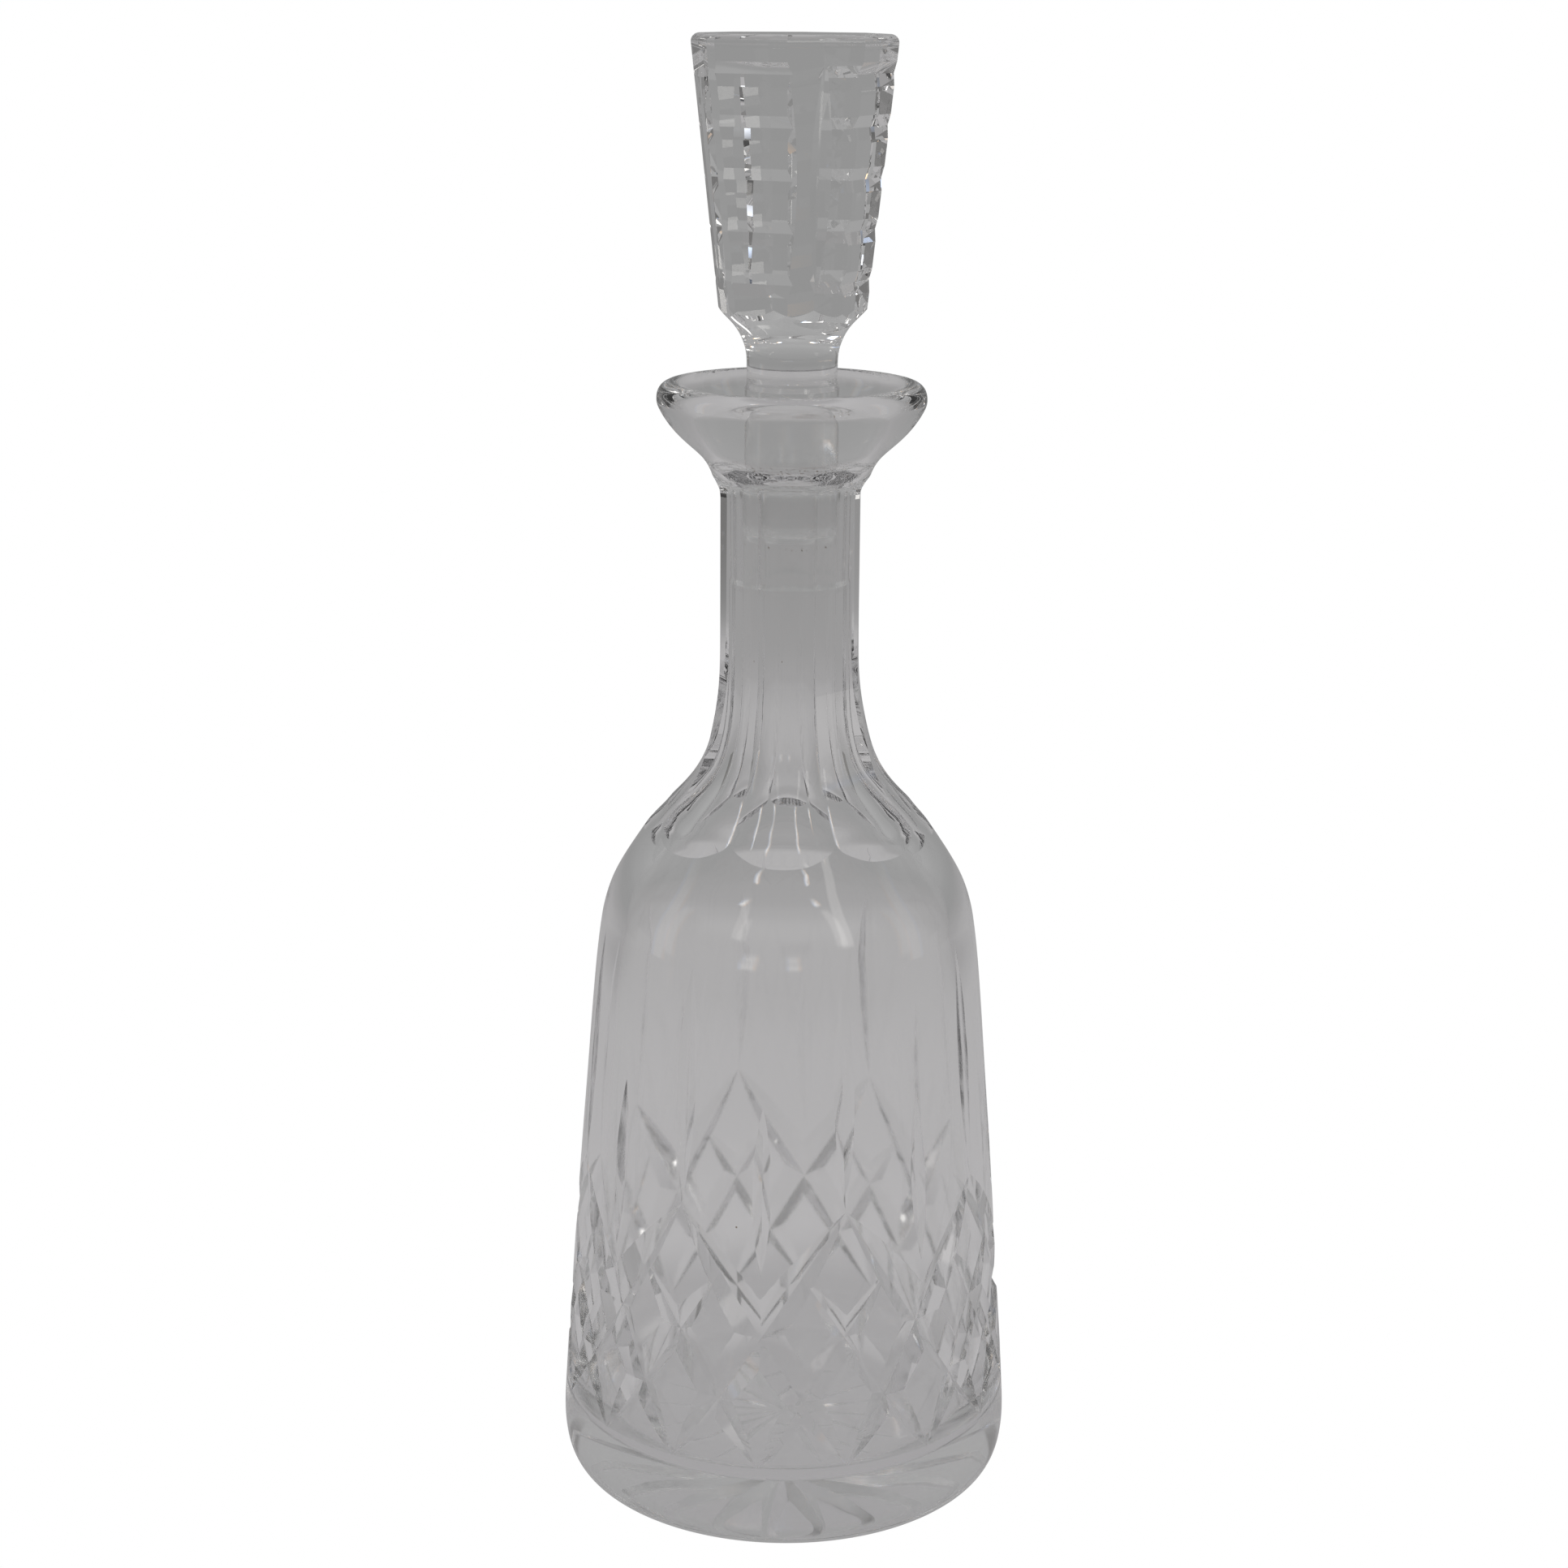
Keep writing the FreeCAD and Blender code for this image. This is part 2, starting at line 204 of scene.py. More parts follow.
wall_slope = heading(WALL[-2], SHOULDER[1])
wall_points, wall_ways = spline(WALL, (0, 1), wall_slope, 12)


def wall_radius(height):
    """Radius of the uncut wall; above the shoulder line it runs straight on."""
    if height > WALL[-1][1]:
        return WALL[-1][0] + (height - WALL[-1][1]) * wall_ways[-1][0] / wall_ways[-1][1]
    return float(np.interp(height, wall_points[:, 1], wall_points[:, 0]))


def on_wall(angle, height):
    r, a = wall_radius(height), math.radians(angle)
    return np.array([r * math.sin(a), -r * math.cos(a), height])


def wall_normal(angle, height):
    lean = (wall_radius(height + 1.0) - wall_radius(height - 1.0)) / 2.0
    a = math.radians(angle)
    return unit((math.sin(a), -math.cos(a), -lean))


def wall_cuts(name, paths, depth, strips, slopes=(FLANK_UPRIGHT, FLANK_UPRIGHT), stations=25):
    """V cutters held square to the wall along their paths, as one object of separate wedges."""
    reach, overrun = 5.0, 1.12
    near, far = (reach / math.tan(math.radians(a)) for a in slopes)
    verts, faces, patches = [], [], []
    for start, end in paths:
        start, end = np.array(start), np.array(end)
        rows = []
        for s in np.linspace(-overrun, overrun, stations):
            here = start + (end - start) * (s + 1) / 2
            step = (end - start) * 0.005
            out = wall_normal(*here)
            across = unit(np.cross(on_wall(*(here + step)) - on_wall(*(here - step)), out))
            bottom = on_wall(*here) - out * (depth * (1 - s * s))
            rows.append((bottom, bottom + out * reach + across * near, bottom + out * reach - across * far,
                         unit(out * near - across * reach), unit(out * far + across * reach)))
        first = len(verts)
        for bottom, left, right, _, _ in rows:
            verts += [bottom, left, right]
        for i in range(stations - 1):
            a, b = first + 3 * i, first + 3 * (i + 1)
            now, after = rows[i], rows[i + 1]
            faces += [(a, a + 1, b + 1, b), (a, b, b + 2, a + 2), (a + 1, a + 2, b + 2, b + 1)]
            patches += [strips.add(now[0], after[0], now[3], after[3]),
                        strips.add(now[0], after[0], now[4], after[4]), 0]
        last = first + 3 * (stations - 1)
        faces += [(first, first + 2, first + 1), (last, last + 1, last + 2)]
        patches += [0, 0]
    return make_object(name, verts, faces, patches)


def body_cutters(strips):
    """The slanting cuts of the diamond band, the spears above it and the blades between them."""
    rows = [ROW_BOTTOM + ROW_PITCH * n for n in range(5)]
    half = STEP / 2
    columns = [n * STEP for n in range(FACETS)]
    made = []
    for side in (-1, 1):
        slopes = (FLANK_HIGH, FLANK_LOW) if side < 0 else (FLANK_LOW, FLANK_HIGH)
        made.append(wall_cuts("long", [((c, rows[4]), (c + side * STEP, rows[0])) for c in columns],
                              LONG_DEPTH, strips, slopes))
        made.append(wall_cuts("short", [((c - side * half / 2, rows[3]), (c + side * half, rows[0]))
                                        for c in columns], SHORT_DEPTH, strips, slopes))
    made.append(wall_cuts("spears", [((c, SPEAR_TOP), (c, rows[4])) for c in columns],
                          SPEAR_DEPTH, strips))
    made.append(wall_cuts("blades", [((c + half, BLADE_TOP), (c + half, rows[3])) for c in columns],
                          BLADE_DEPTH, strips))
    return made


def flute_cutter(number, strips):
    """Prism that cuts one flute of the neck, from the shoulder up to the flare of the lip."""
    clear_radius, half_width = 60.0, 40
    lower, lower_ways = spline(FLUTE, heading(FLUTE[0], FLUTE[1]), (0, 1), 3)
    upper, upper_ways = spline(FLUTE_END, (0, 1), heading(FLUTE_END[-2], FLUTE_END[-1]), 3)
    points = np.concatenate([lower, upper, [(clear_radius, FLUTE_END[-1][1]), (clear_radius, FLUTE[0][1])]])
    normals = np.concatenate([outward(lower_ways), outward(upper_ways)])
    turn = math.radians(-90 + FLUTE_TURN + (number + 0.5) * STEP)
    ahead = np.array([math.cos(turn), math.sin(turn), 0])
    aside = np.array([-math.sin(turn), math.cos(turn), 0])
    up = np.array([0, 0, 1.0])

    def lift(pair):
        return ahead * pair[0] + up * pair[1]

    count = len(points)
    verts = [lift(p) + aside * side for side in (-half_width, half_width) for p in points]
    faces = [tuple(range(count)), tuple(range(count, 2 * count))]
    patches = [0, 0]
    for i in range(count):
        j = (i + 1) % count
        faces.append((i, j, count + j, count + i))
        patches.append(strips.add(lift(points[i]), lift(points[j]), lift(normals[i]), lift(normals[j]))
                       if j < len(normals) and j else 0)
    return make_object("flute", verts, faces, patches)


def star_cutter(strips):
    """Pyramid over a star, which cuts the star into the underside and reaches a little below it."""
    grow = 1.25
    verts = [(0, 0, STAR_DEPTH)]
    count = STAR_POINTS * 2
    for n in range(count):
        r, turn = grow * (STAR_RADIUS if n % 2 == 0 else STAR_INNER), math.radians(n * 360.0 / count)
        verts.append((r * math.sin(turn), -r * math.cos(turn), STAR_DEPTH * (1 - grow)))
    faces, patches = [tuple(range(1, count + 1))], [0]
    for n in range(count):
        a, b = 1 + n, 1 + (n + 1) % count
        normal = unit(np.cross(np.subtract(verts[a], verts[0]), np.subtract(verts[b], verts[0])))
        normal = normal if normal[2] < 0 else -normal
        faces.append((0, a, b))
        patches.append(strips.add((0, 0, 0), (1, 0, 0), normal, normal))
    return make_object("star", verts, faces, patches)


def carve(target, tools):
    """Applies (operation, object) pairs to the target's mesh and removes the tools."""
    for operation, tool in tools:
        step = target.modifiers.new("carve", "BOOLEAN")
        step.operation, step.solver, step.object = operation, "MANIFOLD", tool
    result = bpy.data.meshes.new_from_object(target.evaluated_get(bpy.context.evaluated_depsgraph_get()))
    target.modifiers.clear()
    old, target.data = target.data, result
    bpy.data.meshes.remove(old)
    for _, tool in tools:
        bpy.data.objects.remove(tool)


def face_corners(mesh):
    """The strip number and the position of every corner of every face."""
    patch = np.empty(len(mesh.polygons), int)
    mesh.attributes["patch"].data.foreach_get("value", patch)
    totals = np.empty(len(mesh.polygons), int)
    mesh.polygons.foreach_get("loop_total", totals)
    vertex = np.empty(len(mesh.loops), int)
    mesh.loops.foreach_get("vertex_index", vertex)
    places = np.empty(len(mesh.vertices) * 3)
    mesh.vertices.foreach_get("co", places)
    return np.repeat(patch, totals), places.reshape(-1, 3)[vertex]


def shade(target, strips):
    """Sets every corner's normal from the strip that its face belongs to, and scales to metres."""
    mesh = target.data
    strip, p = face_corners(mesh)
    origin, along, first, last = (np.array([row[i] for row in strips.rows], float)[strip]
                                  for i in range(4))
    about = np.array([row[4] for row in strips.rows])[strip] == 1
    r = np.maximum(np.hypot(p[:, 0], p[:, 1]), 1e-9)
    q = np.where(about[:, None], np.stack([r, 0 * r, p[:, 2]], 1), p)
    t = np.clip(((q - origin) * along).sum(1) / (along * along).sum(1), 0, 1)[:, None]
    n = unit(first + (last - first) * t)
    spun = np.stack([n[:, 0] * p[:, 0] / r, n[:, 0] * p[:, 1] / r, n[:, 2]], 1)
    n = np.where(about[:, None], spun, n)
    mesh.transform(Matrix.Scale(MM, 4))
    mesh.polygons.foreach_set("use_smooth", np.ones(len(mesh.polygons), bool))
    mesh.normals_split_custom_set(n.tolist())
    mesh.update()


def crystal_body():
    """The hollow decanter with its flutes, its star and the cuts of its body."""
    strips = Strips()
    seat_end = (SEAT_RADIUS + SEAT_SLOPE * (SEAT_END - SEAT_TOP), SEAT_END)
    runs = [spline(HEEL, (1, 0.02), (0, 1), 4), spline(WALL, (0, 1), wall_slope, 3),
            spline(SHOULDER, wall_slope, (0, 1), 3), line(SHOULDER[-1], LIP[0]),
            spline(LIP, (0, 1), (0, 1), 4), spline(RIM, (0, 1), (-1, 0), 4),
            spline(MOUTH, (-1, 0), heading(MOUTH[-2], MOUTH[-1]), 4), line(MOUTH[-1], seat_end),
            line(seat_end, BORE[0]), spline(BORE, (0, -1), (0, -1), 3),
            spline(FLOOR_CORNER, (0, -1), (-1, 0), 6)]
    body = turned_solid("crystal_body", [(points, outward(ways)) for points, ways in runs], strips)
    flutes = [flute_cutter(number, strips) for number in range(FACETS)]
    tools = flutes + [star_cutter(strips)] + body_cutters(strips)
    carve(body, [("DIFFERENCE", tool) for tool in tools])
    shade(body, strips)
    return body


def panel_flat(height):
    """Distance of a stopper panel from the axis."""
    return (PRISM_CORNER + PRISM_TAPER * (height - PRISM_REFERENCE)) * COS_HALF


def plug_radius(height):
    """Radius of the plug, which follows the seat with a small gap."""
    return SEAT_RADIUS + SEAT_SLOPE * (height - SEAT_TOP) - SEAT_GAP


def stopper_prism(strips):
    """Eight-sided prism that widens upwards, with a rounded crown edge."""
    bottom, straight_top = 215.0, 262.0
    centre_z = STOPPER_TOP - CROWN_ROUND
    centre_r = panel_flat(centre_z) - CROWN_ROUND / math.cos(PANEL_LEAN)
    side_normal = (math.cos(PANEL_LEAN), -math.sin(PANEL_LEAN))
    arc = np.linspace(-PANEL_LEAN, math.pi / 2, 9)
    points = [(panel_flat(straight_top), bottom), (panel_flat(straight_top), straight_top)]
    points += [(centre_r + CROWN_ROUND * math.cos(a), centre_z + CROWN_ROUND * math.sin(a)) for a in arc]
    normals = [((1, 0), (1, 0)), (side_normal, side_normal)]
    normals += [((math.cos(a), math.sin(a)), (math.cos(b), math.sin(b))) for a, b in zip(arc, arc[1:])]
    corners = [math.radians((k + 0.5) * STEP + STOPPER_TURN) for k in range(FACETS)]
    verts = [(r / COS_HALF * math.sin(c), -r / COS_HALF * math.cos(c), z) for r, z in points for c in corners]
    faces = [tuple(range(FACETS)), tuple(range(len(verts) - FACETS, len(verts)))]
    patches = [0, strips.add((0, 0, 0), (1, 0, 0), (0, 0, 1), (0, 0, 1))]
    up = np.array([0, 0, 1.0])
    for k in range(FACETS):
        m = (k + 1) % FACETS
        middle = math.radians((k + 1) * STEP + STOPPER_TURN)
        ahead = np.array([math.sin(middle), -math.cos(middle), 0])
        for i in range(len(points) - 1):
            (r0, z0), (r1, z1) = points[i], points[i + 1]
            (a0, b0), (a1, b1) = normals[i]
            a, b = i * FACETS, (i + 1) * FACETS
            faces.append((a + k, a + m, b + m, b + k))
            patches.append(strips.add(ahead * r0 + up * z0, ahead * r1 + up * z1,
                                      ahead * a0 + up * b0, ahead * a1 + up * b1))
    return make_object("crystal_stopper", verts, faces, patches)


def stopper_turning(strips):
    """Turned shape of the plug, the stem and the foot of the head, and clear of the head above."""
    clear_radius, clear_from, clear_top, step_up = 32.0, 292.0, 345.0, 1.1
    stem = HEAD[0][0]
    low = (plug_radius(PLUG_BOTTOM) - PLUG_CHAMFER_IN, PLUG_BOTTOM)
    chamfer_end = PLUG_BOTTOM + PLUG_CHAMFER_UP
    chamfer = (plug_radius(chamfer_end), chamfer_end)
    top, stem_start = (plug_radius(PLUG_TOP), PLUG_TOP), (stem, PLUG_TOP + step_up)
    runs = [line(low, chamfer), line(chamfer, top), line(top, stem_start), line(stem_start, HEAD[0]),
            spline(HEAD, (0, 1), heading(HEAD[-2], HEAD[-1]), 4),
            line(HEAD[-1], (clear_radius, clear_from)),
            line((clear_radius, clear_from), (clear_radius, clear_top))]
    return turned_solid("trim", [(points, outward(ways)) for points, ways in runs], strips)


def groove_cutter(strips):
    """Rows of level V grooves on every second panel; those of one back panel run out askew."""
    reach, half_length = 4.0, 12
    rise = GROOVE_HALF * (reach + GROOVE_DEPTH) / GROOVE_DEPTH
    tilt = Matrix.Rotation(PANEL_LEAN, 3, "Y")
    verts, faces, patches = [], [], []
    for panel in GROOVED_PANELS:
        to_panel = Matrix.Rotation(math.radians(panel * STEP + STOPPER_TURN) - math.pi / 2, 3, "Z")
        run_out = Matrix.Rotation(math.radians(RUN_OUT_TURN if panel == RUN_OUT_PANEL else 0.0), 3, "Z")
        for row in range(GROOVE_ROWS):
            height = GROOVE_BOTTOM + GROOVE_PITCH * row
            away = panel_flat(height)
            pivot = Vector((away, 0, height))
            anchor = Vector((away - GROOVE_DEPTH, RUN_OUT_SIDE, height))
            first = len(verts)
            for side in (-half_length, half_length):
                for r, z in ((away - GROOVE_DEPTH, height), (away + reach, height + rise),
                             (away + reach, height - rise)):
                    p = pivot + tilt @ (Vector((r, 0, z)) - pivot) + Vector((0, side, 0))
                    verts.append(to_panel @ (anchor + run_out @ (p - anchor)))
            a, b = first, first + 3
            faces += [(a, a + 1, a + 2), (b, b + 2, b + 1), (a, b, b + 1, a + 1), (a, a + 2, b + 2, b),
                      (a + 1, b + 1, b + 2, a + 2)]
            inward = np.array(verts[a + 1]) + np.array(verts[a + 2]) - 2 * np.array(verts[a])
            flanks = []
            for other in (a + 1, a + 2):
                arm, along = np.subtract(verts[other], verts[a]), np.subtract(verts[b], verts[a])
                normal = unit(np.cross(arm, along))
                normal = normal if np.dot(normal, inward) > 0 else -normal
                flanks.append(strips.add((0, 0, 0), (1, 0, 0), normal, normal))
            patches += [0, 0, *flanks, 0]
    return make_object("grooves", verts, faces, patches)


def upright_panel_cutter(strips):
    """V cuts, pointed at both ends, down the middle of the stopper panels without grooves."""
    reach, overrun, stations = 6.0, 1.15, 29
    slope = math.radians(UPRIGHT_FLANK)
    middle, half = (UPRIGHT_LOW + UPRIGHT_HIGH) / 2, (UPRIGHT_HIGH - UPRIGHT_LOW) / 2
    bend = 2 * UPRIGHT_DEPTH / half
    places = np.linspace(-overrun, overrun, stations)
    verts, faces, patches = [], [], []
    for panel in PLAIN_PANELS:
        turn = math.radians(panel * STEP + STOPPER_TURN)
        ahead = np.array([math.sin(turn), -math.cos(turn), 0.0])
        aside = np.array([math.cos(turn), math.sin(turn), 0.0])
        out = ahead * math.cos(PANEL_LEAN) - np.array([0, 0, math.sin(PANEL_LEAN)])
        up = ahead * math.sin(PANEL_LEAN) + np.array([0, 0, math.cos(PANEL_LEAN)])
        arms = [side * aside * math.cos(slope) + out * math.sin(slope) for side in (1, -1)]
        normals = [-side * aside * math.sin(slope) + out * math.cos(slope) for side in (1, -1)]
        first = len(verts)
        for s in places:
            height = middle + half * s
            surface = ahead * panel_flat(height) + np.array([0, 0, height])
            bottom = surface - out * UPRIGHT_DEPTH * (1 - s * s)
            verts += [bottom] + [bottom + arm * reach for arm in arms]
        for i in range(stations - 1):
            a, b = first + 3 * i, first + 3 * (i + 1)
            faces += [(a, a + 1, b + 1, b), (a, b, b + 2, a + 2), (a + 1, a + 2, b + 2, b + 1)]
            for normal in normals:
                ends = [unit(normal - up * bend * s * math.cos(slope)) for s in places[i:i + 2]]
                patches.append(strips.add(verts[a], verts[b], ends[0], ends[1]))
            patches.append(0)
        last = first + 3 * (stations - 1)
        faces += [(first, first + 2, first + 1), (last, last + 1, last + 2)]
        patches += [0, 0]
    return make_object("upright_panel_cuts", verts, faces, patches)


def crystal_stopper():
    """The solid stopper: plug, stem and a cut eight-sided head."""
    strips = Strips()
    stopper = stopper_prism(strips)
    carve(stopper, [("INTERSECT", stopper_turning(strips)), ("DIFFERENCE", groove_cutter(strips)),
                    ("DIFFERENCE", upright_panel_cutter(strips))])
    shade(stopper, strips)
    return stopper


# Shader helpers. Places are in metres.

CLEAR, DIRT = (1, 1, 1, 1), (0.16, 0.10, 0.06, 1)
FINE_SCALE, RIPPLE_SCALE, CRUMB_SCALE, SPECK_SCALE = 900.0, 26.0, 1500.0, 170.0
FINE_SPREAD = (0.3, 0.8, 0.7, 1.2)      # from noise levels to shares of the roughness
WORN_SPREAD = (0.25, 0.7, 0.5, 1.0)
EDGE = 0.0002
POLISHED_ROUGHNESS, CUT_ROUGHNESS = 0.008, 0.034
GROUND_ROUGHNESS, BLOWN_ROUGHNESS, WORN_ROUGHNESS = 0.16, 0.045, 0.12   # added to the others
RIPPLE_DEPTH = 0.000012
CUT_FADES = (0.150, 0.120)      # heights between which the cut body's roughness comes in
WORN_FADES = (0.0032, 0.0024)
BLOWN_STARTS, BLOWN_ENDS = (0.010, 0.012), (0.170, 0.140)
WALL_MIDDLE, WALL_MIDDLE_LEAN = 0.0499, -0.069      # radius halfway through the wall, by height


def new_material(name):
    material = bpy.data.materials.new(name)
    material.use_nodes = True
    material.node_tree.nodes.clear()
    return material, material.node_tree


def node(tree, kind, settings=None, **inputs):
    """Adds a node; settings are its properties, inputs its socket values or the sockets that feed it."""
    made = tree.nodes.new(kind)
    for key, value in (settings or {}).items():
        setattr(made, key, value)
    for key, value in inputs.items():
        numbered = key[0] == "i" and key[1:].isdigit()
        socket = made.inputs[int(key[1:]) if numbered else key.replace("_", " ")]
        if isinstance(value, bpy.types.NodeSocket):
            tree.links.new(value, socket)
        else:
            socket.default_value = value
    return made


def math_node(tree, operation, a, b=0.0, c=0.0):
    return node(tree, "ShaderNodeMath", {"operation": operation}, i0=a, i1=b, i2=c).outputs[0]


def smooth_range(tree, value, low, high, to_low=0.0, to_high=1.0):
    """Eases from one result at the first place to the other at the second, which may be the lower."""
    return node(tree, "ShaderNodeMapRange", {"interpolation_type": "SMOOTHSTEP"}, Value=value,
                From_Min=low, From_Max=high, To_Min=to_low, To_Max=to_high).outputs[0]


def soft_band(tree, value, low, high, low_edge=0.0003, high_edge=0.0003):
    """1 between two places and 0 outside them; each edge fades over twice its width."""
    return math_node(tree, "MULTIPLY", smooth_range(tree, value, low - low_edge, low + low_edge),
                     smooth_range(tree, value, high + high_edge, high - high_edge))


def noise(tree, vector, scale, detail):
    return node(tree, "ShaderNodeTexNoise", None, Vector=vector, Scale=scale, Detail=detail,
                Roughness=0.5).outputs[0]


def place(tree):
    """Object-space position and its height and distance from the decanter's axis, in metres."""
    where = node(tree, "ShaderNodeTexCoord").outputs["Object"]
    parts = node(tree, "ShaderNodeSeparateXYZ", None, i0=where).outputs
    squares = math_node(tree, "ADD", math_node(tree, "MULTIPLY", parts[0], parts[0]),
                        math_node(tree, "MULTIPLY", parts[1], parts[1]))
    return where, parts[2], math_node(tree, "SQRT", squares)


def handled(tree, where, height, radius, residue):
    """Clear glass with dust specks, and dried residue in the funnel and below the plug."""
    speck_radius, picked_above, crumb_levels = 0.03, 0.965, (0.60, 0.66)
    cells = node(tree, "ShaderNodeTexVoronoi", None, Vector=where, Scale=SPECK_SCALE).outputs
    pick = node(tree, "ShaderNodeSeparateXYZ", None, i0=cells["Color"]).outputs[0]
    speck = smooth_range(tree, cells["Distance"], 1.5 * speck_radius, speck_radius)
    mask = math_node(tree, "MULTIPLY", speck, math_node(tree, "GREATER_THAN", pick, picked_above))
    crumbs = smooth_range(tree, noise(tree, where, CRUMB_SCALE, 2.0), *crumb_levels)
    for low, high, reach in residue:
        ring = math_node(tree, "MULTIPLY", soft_band(tree, height, low, high, EDGE),
                         smooth_range(tree, radius, reach + EDGE, reach))
        mask = math_node(tree, "MULTIPLY_ADD", ring, crumbs, mask)
    return node(tree, "ShaderNodeMix", {"data_type": "RGBA", "clamp_factor": True}, i0=mask,
                i6=CLEAR, i7=DIRT).outputs[2]


def blown_wall(tree, height, radius):
    """1 on the inner wall of the decanter's body and 0 elsewhere."""
    middle = math_node(tree, "MULTIPLY_ADD", height, WALL_MIDDLE_LEAN, WALL_MIDDLE)
    inside = smooth_range(tree, math_node(tree, "SUBTRACT", middle, radius), 0.0, 2 * EDGE)
    return math_node(tree, "MULTIPLY", inside,
                     math_node(tree, "MULTIPLY", smooth_range(tree, height, *BLOWN_STARTS),
                               smooth_range(tree, height, *BLOWN_ENDS)))


def crystal(name, ground_low, ground_high, ground_radius, residue):
    """Polished lead crystal: a ground band between two heights inside a radius, a softer blown
    inner wall and a base worn by standing on tables."""
    material, tree = new_material(name)
    where, height, radius = place(tree)
    fine = noise(tree, where, FINE_SCALE, 3.0)
    ripple = noise(tree, where, RIPPLE_SCALE, 1.0)
    ground = math_node(tree, "MULTIPLY", soft_band(tree, height, ground_low, ground_high),
                       smooth_range(tree, radius, ground_radius + EDGE, ground_radius))
    worn = math_node(tree, "MULTIPLY", smooth_range(tree, height, *WORN_FADES),
                     smooth_range(tree, fine, *WORN_SPREAD))
    plain = smooth_range(tree, height, *CUT_FADES, POLISHED_ROUGHNESS, CUT_ROUGHNESS)
    roughness = math_node(tree, "MULTIPLY", smooth_range(tree, fine, *FINE_SPREAD), plain)
    for mask, amount in ((ground, GROUND_ROUGHNESS), (blown_wall(tree, height, radius), BLOWN_ROUGHNESS),
                         (worn, WORN_ROUGHNESS)):
        roughness = math_node(tree, "MULTIPLY_ADD", mask, amount, roughness)
    bump = node(tree, "ShaderNodeBump", None, Strength=1.0, Distance=RIPPLE_DEPTH, Height=ripple)
    shader = node(tree, "ShaderNodeBsdfPrincipled", None, Roughness=roughness, IOR=GLASS_IOR,
                  Transmission_Weight=1.0, Normal=bump.outputs[0])
    tree.links.new(handled(tree, where, height, radius, residue), shader.inputs["Base Color"])
    node(tree, "ShaderNodeOutputMaterial", None, Surface=shader.outputs[0])
    return material


# Heights of the dried residue in the decanter, and how far from the axis it reaches, in metres.
RESIDUE = ((0.2253, 0.2262, 0.0106), (0.2418, 0.2462, 0.0152))

# Each piece's builder, body, CAD node and slot, its ground band (heights and radius) and residue.
PIECES = (
    (crystal_body, "decanter", "decanter_body", "crystal", (0.2150, 0.241, 0.0108), RESIDUE),
    (crystal_stopper, "stopper", "stopper", "stopper_crystal", (0.2262, 0.2555, 0.0108), ()),
)
for build, body, replaced, slot, ground_band, residue in PIECES:
    piece = build()
    piece.data.materials.clear()
    piece.data.materials.append(crystal(piece.name, *ground_band, residue))
    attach(piece, body)
    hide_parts(replaced)


# The studio. The camera sees a pale floor and backdrop; the glass sees a grey room with soft lights.

VIEW_TURN = math.radians(-16.2)     # the camera stands this far round from the -Y side
DUSK = (0.16, 0.157, 0.155)         # the room's darker side, behind the camera
DUSK_TURNS = (105.0, 45.0)          # degrees round from the camera between which the dusk comes in
DUSK_FLOOR = (0.6, 1.3)             # the same, painted as shade on the glowing floor, in metres from the axis
DUSK_LIFTS = (32.0, 8.0)            # and on the walls, in degrees of elevation
WHITE_PAPER = (1, 1, 1, 1)
FLOOR_HALF, FLOOR_DROP = 1.5, 0.0002

# Glow of the floor by distance from the axis in metres, with painted shadow close round the decanter, a
# painted pool of light beyond it and painted shade further out, and greys of the room by elevation in
# degrees, as the glass sees them.
FLOOR_GLOW_AND_PAINTED_SHADE = (
    (0.0, (0.38, 0.373, 0.38)), (0.09, (0.37, 0.363, 0.369)), (0.14, (0.475, 0.467, 0.473)),
    (0.22, (0.452, 0.444, 0.449)), (0.44, (0.432, 0.425, 0.428)), (0.54, (0.392, 0.386, 0.389)),
    (0.66, (0.350, 0.344, 0.347)), (0.90, (0.325, 0.321, 0.322)), (1.50, (0.310, 0.307, 0.308)),
)
ROOM_GREYS = (
    (0.0, (0.30,) * 3), (5.4, (0.31,) * 3), (12.6, (0.335,) * 3), (27.0, (0.385,) * 3),
    (45.0, (0.36,) * 3), (67.5, (0.38,) * 3), (90.0, (0.42,) * 3),
)

WARM, COOL, WHITE = (1.0, 0.62, 0.32), (0.55, 0.7, 1.0), (1.0, 0.98, 0.95)


def edged_light(at, half, low, high, level, gap, edge_half, warm_level, cool_level):
    """A light between a warm and a cool one, which give the coloured glints of cut glass."""
    return [(at, half, low, high, level, WHITE), (at + gap, edge_half, low, high, warm_level, WARM),
            (at - gap, edge_half, low, high, cool_level, COOL)]


# Lights and dark flags of the grey room: turn and half width in degrees round from the camera
# (to its right), lowest and highest elevation in degrees, level, tint. Later ones cover earlier ones.
ROOM_PATCHES = [
    (72, 4, -20, 30, 0.13, WHITE), *edged_light(84, 3.5, -15, 35, 0.9, -4.3, 0.8, 0.9, 0.9),
    (-70, 4, -20, 30, 0.13, WHITE), *edged_light(-84, 3.5, -15, 35, 1.1, 4.3, 0.8, 1.0, 1.2),
    (110, 6, -20, 30, 0.17, WHITE), (-110, 6, -20, 30, 0.17, WHITE),
    (-6, 12, -14, -3, 0.015, WHITE), (6, 10, 11, 20, 0.03, WHITE),
    *edged_light(-24, 4, 1, 5, 3.0, 4.6, 1, 2.4, 2.4), *edged_light(4, 3, 2, 5, 3.0, 3.6, 1, 2.4, 2.4),
    (-33, 3.5, 20, 44, 1.5, WHITE), (38, 4, 14, 56, 2.1, WHITE),
    *edged_light(-52, 2.2, 58, 63, 8, 3.2, 0.8, 7, 7), *edged_light(36, 2.2, 62, 67, 8, 3.2, 0.8, 7, 7),
]
TURN_EDGE, LOW_EDGE, HIGH_EDGE = 1.0, 2, 4      # half widths of a patch's soft edges, in degrees


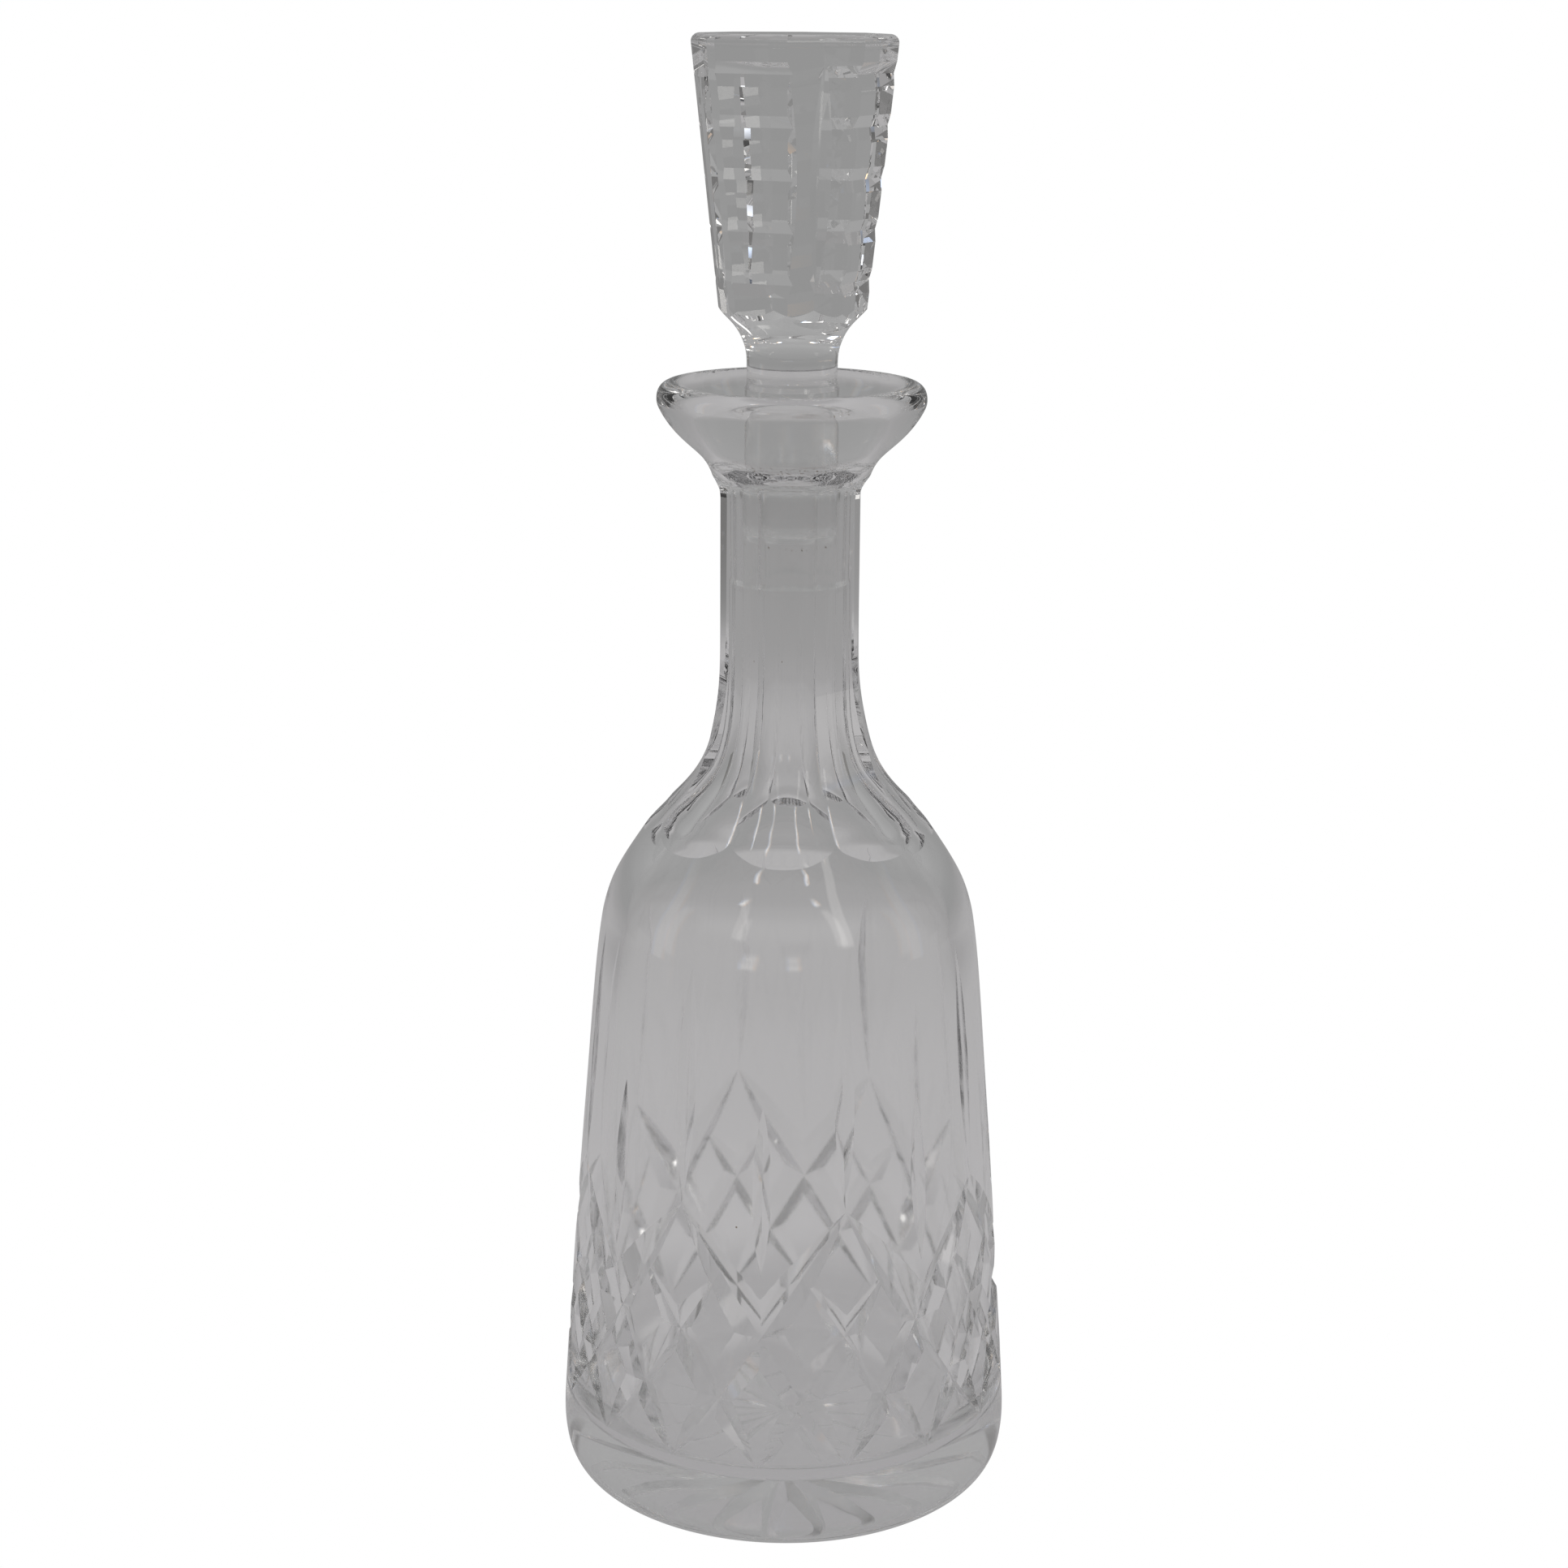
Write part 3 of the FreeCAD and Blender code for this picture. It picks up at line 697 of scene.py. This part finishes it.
def colour_ramp(tree, value, stops, full):
    """Colours along a value that runs from 0 to full, from (place, colour) stops."""
    made = node(tree, "ShaderNodeValToRGB", None, i0=math_node(tree, "DIVIDE", value, full))
    ramp = made.color_ramp
    ramp.interpolation = "EASE"
    while len(ramp.elements) < len(stops):
        ramp.elements.new(0.5)
    for element, (at, colour) in zip(ramp.elements, stops):
        element.position = at / full
        element.color = (*colour, 1)
    return made.outputs[0]


def blend(tree, share, colour, other):
    """Mixes a fixed (red, green, blue) colour into a colour."""
    return node(tree, "ShaderNodeMix", {"data_type": "RGBA"}, i0=share, i6=colour, i7=(*other, 1)).outputs[2]


def turn_of(tree, parts):
    """Degrees round from the -Y side towards +X."""
    back = math_node(tree, "MULTIPLY", parts[1], -1.0)
    return math_node(tree, "MULTIPLY", math_node(tree, "ARCTAN2", parts[0], back), 180 / math.pi)


def turned_from_camera(tree, turn, at):
    """Degrees between a turn and a place given round from the camera, the short way."""
    gap = math_node(tree, "SUBTRACT", turn, at + math.degrees(VIEW_TURN))
    return math_node(tree, "ABSOLUTE", math_node(tree, "WRAP", gap, 180.0, -180.0))


def camera_side(tree, turn):
    """1 for headings near the camera, fading to 0 at the sides of the room."""
    return smooth_range(tree, turned_from_camera(tree, turn, 0.0), *DUSK_TURNS)


def white_to_camera(tree, kind, colour, output):
    """Shows white to the camera itself, and the colour to rays that have met the glass."""
    straight = node(tree, "ShaderNodeLightPath").outputs["Is Camera Ray"]
    room = node(tree, kind, None, Color=colour, Strength=1.0)
    white = node(tree, kind, None, Color=WHITE_PAPER, Strength=1.0)
    seen = node(tree, "ShaderNodeMixShader", None, i0=straight, i1=room.outputs[0], i2=white.outputs[0])
    node(tree, output, None, Surface=seen.outputs[0])


def studio_floor():
    """Flat floor just under the decanter that glows: evenly white to the camera, and grey to the glass with
    painted shadow, painted light and painted shade on it.
    """
    mesh = bpy.data.meshes.new("floor")
    corners = ((-1, -1), (1, -1), (1, 1), (-1, 1))
    mesh.from_pydata([(x * FLOOR_HALF, y * FLOOR_HALF, 0) for x, y in corners], [], [(0, 1, 2, 3)])
    floor = bpy.data.objects.new("floor", mesh)
    bpy.context.scene.collection.objects.link(floor)
    floor.location.z = -FLOOR_DROP
    material, tree = new_material("pale_floor")
    where, _, away = place(tree)
    # painted shadow round the decanter and a painted pool of light beyond it, in the floor's glow by distance
    # from the axis
    colour = colour_ramp(tree, away, FLOOR_GLOW_AND_PAINTED_SHADE, 2.0)
    parts = node(tree, "ShaderNodeSeparateXYZ", None, i0=where).outputs
    # painted shade: the floor's glow darkens far out on the camera's side
    dusk = math_node(tree, "MULTIPLY", camera_side(tree, turn_of(tree, parts)),
                     smooth_range(tree, away, *DUSK_FLOOR))
    white_to_camera(tree, "ShaderNodeEmission", blend(tree, dusk, colour, DUSK), "ShaderNodeOutputMaterial")
    mesh.materials.append(material)


def studio_world():
    """White backdrop for the camera, and for the glass a grey room with its lights and flags."""
    world = bpy.data.worlds.new("studio")
    bpy.context.scene.world = world
    world.use_nodes = True
    tree = world.node_tree
    tree.nodes.clear()
    heading_seen = node(tree, "ShaderNodeTexCoord").outputs["Generated"]
    parts = node(tree, "ShaderNodeSeparateXYZ", None, i0=heading_seen).outputs
    lift = math_node(tree, "MULTIPLY", math_node(tree, "ARCSINE", parts[2]), 180 / math.pi)
    turn = turn_of(tree, parts)
    colour = colour_ramp(tree, lift, ROOM_GREYS, 90.0)
    dusk = math_node(tree, "MULTIPLY", camera_side(tree, turn), smooth_range(tree, lift, *DUSK_LIFTS))
    colour = blend(tree, dusk, colour, DUSK)
    for at, half, low, high, level, tint in ROOM_PATCHES:
        off = turned_from_camera(tree, turn, at)
        beside = smooth_range(tree, off, half + TURN_EDGE, half - TURN_EDGE)
        inside = math_node(tree, "MULTIPLY", beside, soft_band(tree, lift, low, high, LOW_EDGE, HIGH_EDGE))
        colour = blend(tree, inside, colour, [level * part for part in tint])
    white_to_camera(tree, "ShaderNodeBackground", colour, "ShaderNodeOutputWorld")


def studio_camera():
    """Camera in front of the decanter and a little above it, looking down."""
    turn, tilt, roll = VIEW_TURN, math.radians(15.35), math.radians(0.47)
    distance, height = 0.650, 0.346
    data = bpy.data.cameras.new("camera")
    camera = bpy.data.objects.new("camera", data)
    bpy.context.scene.collection.objects.link(camera)
    camera.location = (distance * math.sin(turn), -distance * math.cos(turn), height)
    camera.rotation_mode = "QUATERNION"
    camera.rotation_quaternion = (Matrix.Rotation(turn, 4, "Z")
                                  @ Matrix.Rotation(math.pi / 2 - tilt, 4, "X")
                                  @ Matrix.Rotation(roll, 4, "Z")).to_quaternion()
    data.sensor_fit, data.sensor_width, data.lens = "HORIZONTAL", 36.0, 67.0
    data.shift_x, data.shift_y = -0.0030, 0.0028
    data.clip_start = 0.01
    bpy.context.scene.camera = camera


studio_floor()
studio_world()
studio_camera()

scene = bpy.context.scene
scene.view_settings.view_transform = "Standard"
scene.cycles.max_bounces = 32
scene.cycles.transmission_bounces = 32
scene.cycles.glossy_bounces = 16
scene.cycles.caustics_refractive = True
scene.cycles.caustics_reflective = True
